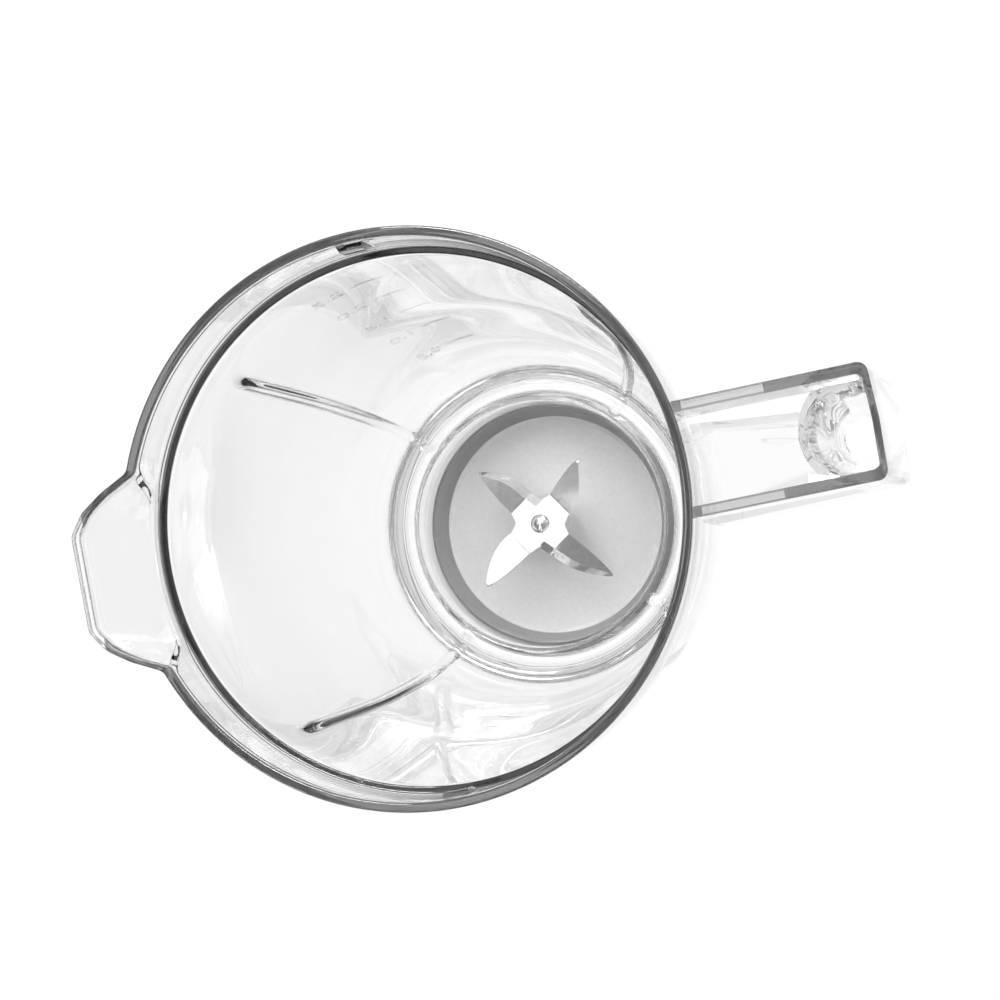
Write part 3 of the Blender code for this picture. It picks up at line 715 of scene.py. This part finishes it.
CLEAR = clear_material("clear_plastic_look")
GREY = node_material("grey_plastic_look", (0.9, 0.9, 0.9), 0.38, 0.0, 900.0, 0.03, 0.15)
STEEL = node_material("steel_look", (0.68, 0.68, 0.685), 0.2, 1.0, 500.0, 0.04, 0.05)
BRONZE = node_material("bronze_look", (0.62, 0.44, 0.22), 0.42, 1.0, 900.0, 0.15, 0.2)
SEAL = node_material("seal_look", (0.38, 0.38, 0.38), 0.55, 0.0, 700.0, 0.06, 0.1)
RUBBER = node_material("rubber_look", (0.04, 0.04, 0.04), 0.65, 0.0, 900.0, 0.2, 0.2)
BLACK = node_material("black_plastic_look", (0.05, 0.05, 0.053), 0.45, 0.0, 900.0, 0.15, 0.2)

LOOKS = {
    "clear_plastic": CLEAR,
    "grey_plastic": GREY,
    "stainless_steel": STEEL,
    "bronze": BRONZE,
    "grey_rubber": SEAL,
    "black_rubber": RUBBER,
    "black_plastic": BLACK,
}


def dress_nodes():
    """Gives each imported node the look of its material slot."""
    for entry in frame["record"]["subparts"]:
        obj = frame["nodes"][entry["node"]]
        obj.data.materials.clear()
        obj.data.materials.append(LOOKS[entry["material_slot"]])
        obj.data.shade_smooth()
        obj.data.set_sharp_from_angle(angle=math.radians(35))


# ---------------------------------------------------------------- camera, floor and light


# Where the camera stands, in metres, and its turns about X, Y and Z in degrees.
CAMERA_PLACE = Vector((0.13775, -0.03307, 0.79337))
CAMERA_TURNS = (0.9542, 11.8248, -11.3418)


def build_camera():
    """A camera high over the goblet and a little beyond the handle, that looks almost straight down."""
    turn = Euler([math.radians(angle) for angle in CAMERA_TURNS])
    data = bpy.data.cameras.new("camera")
    data.sensor_width = 36.0
    data.lens = 89.53
    data.clip_start = 0.01
    data.clip_end = 20.0
    cam = bpy.data.objects.new("camera", data)
    cam.matrix_world = Matrix.Translation(CAMERA_PLACE) @ turn.to_matrix().to_4x4()
    bpy.context.scene.collection.objects.link(cam)
    bpy.context.scene.camera = cam


def build_floor():
    """A plain floor bright enough to look white."""
    mesh = bpy.data.meshes.new("floor")
    corners = [(x, y, -0.0005) for x, y in ((-4.0, -4.0), (4.0, -4.0), (4.0, 4.0), (-4.0, 4.0))]
    mesh.from_pydata(corners, [], [(0, 1, 2, 3)])
    floor = bpy.data.objects.new("floor", mesh)
    bpy.context.scene.collection.objects.link(floor)
    mat = bpy.data.materials.new("floor_look")
    mat.use_nodes = True
    nodes = mat.node_tree.nodes
    bsdf = nodes["Principled BSDF"]
    bsdf.inputs["Base Color"].default_value = (0.02, 0.02, 0.02, 1.0)
    bsdf.inputs["Roughness"].default_value = 1.0
    bsdf.inputs["Specular IOR Level"].default_value = 0.0
    bsdf.inputs["Emission Color"].default_value = (1.0, 1.0, 1.0, 1.0)
    bsdf.inputs["Emission Strength"].default_value = 1.0
    mesh.materials.append(mat)


def area_light(name, place, size, power):
    """A square lamp that faces the goblet."""
    data = bpy.data.lights.new(name, "AREA")
    data.size = size
    data.energy = power
    lamp = bpy.data.objects.new(name, data)
    lamp.location = place
    lamp.rotation_mode = "QUATERNION"
    lamp.rotation_quaternion = (Vector((0.0, 0.0, 0.1)) - Vector(place)).to_track_quat("-Z", "Y")
    bpy.context.scene.collection.objects.link(lamp)


def build_light():
    """A world that is darkest straight up and brightest towards the far right, with three lamps."""
    world = bpy.data.worlds.new("studio")
    bpy.context.scene.world = world
    world.use_nodes = True
    background = world.node_tree.nodes["Background"]
    background.inputs["Strength"].default_value = 1.0
    nodes, links = world.node_tree.nodes, world.node_tree.links
    coord = nodes.new("ShaderNodeTexCoord")
    along = nodes.new("ShaderNodeVectorMath")
    along.operation = "DOT_PRODUCT"
    along.inputs[1].default_value = (0.30, 0.50, -0.81)
    ramp = nodes.new("ShaderNodeValToRGB")
    ramp.color_ramp.elements[0].position = 0.12
    ramp.color_ramp.elements[0].color = (0.18, 0.18, 0.18, 1.0)
    ramp.color_ramp.elements[1].position = 0.62
    ramp.color_ramp.elements[1].color = (0.85, 0.85, 0.85, 1.0)
    shift = nodes.new("ShaderNodeMapRange")
    shift.inputs["From Min"].default_value = -1.0
    links.new(coord.outputs["Generated"], along.inputs[0])
    links.new(along.outputs["Value"], shift.inputs["Value"])
    links.new(shift.outputs["Result"], ramp.inputs["Fac"])
    links.new(ramp.outputs["Color"], background.inputs["Color"])
    area_light("overhead", (0.15, 0.35, 1.4), 1.6, 12.0)
    area_light("key", (0.1, 0.8, 1.2), 0.6, 32.0)
    area_light("side", (0.8, 1.0, 0.42), 0.9, 5.0)


bpy.context.scene.view_settings.view_transform = "Standard"
bpy.context.scene.cycles.max_bounces = 24
bpy.context.scene.cycles.glossy_bounces = 20
bpy.context.scene.cycles.transmission_bounces = 24
dress_nodes()
build_goblet(CLEAR)
build_handle(CLEAR)
build_scale(CLEAR)
build_dish(GREY, SEAL)
build_camera()
build_floor()
build_light()
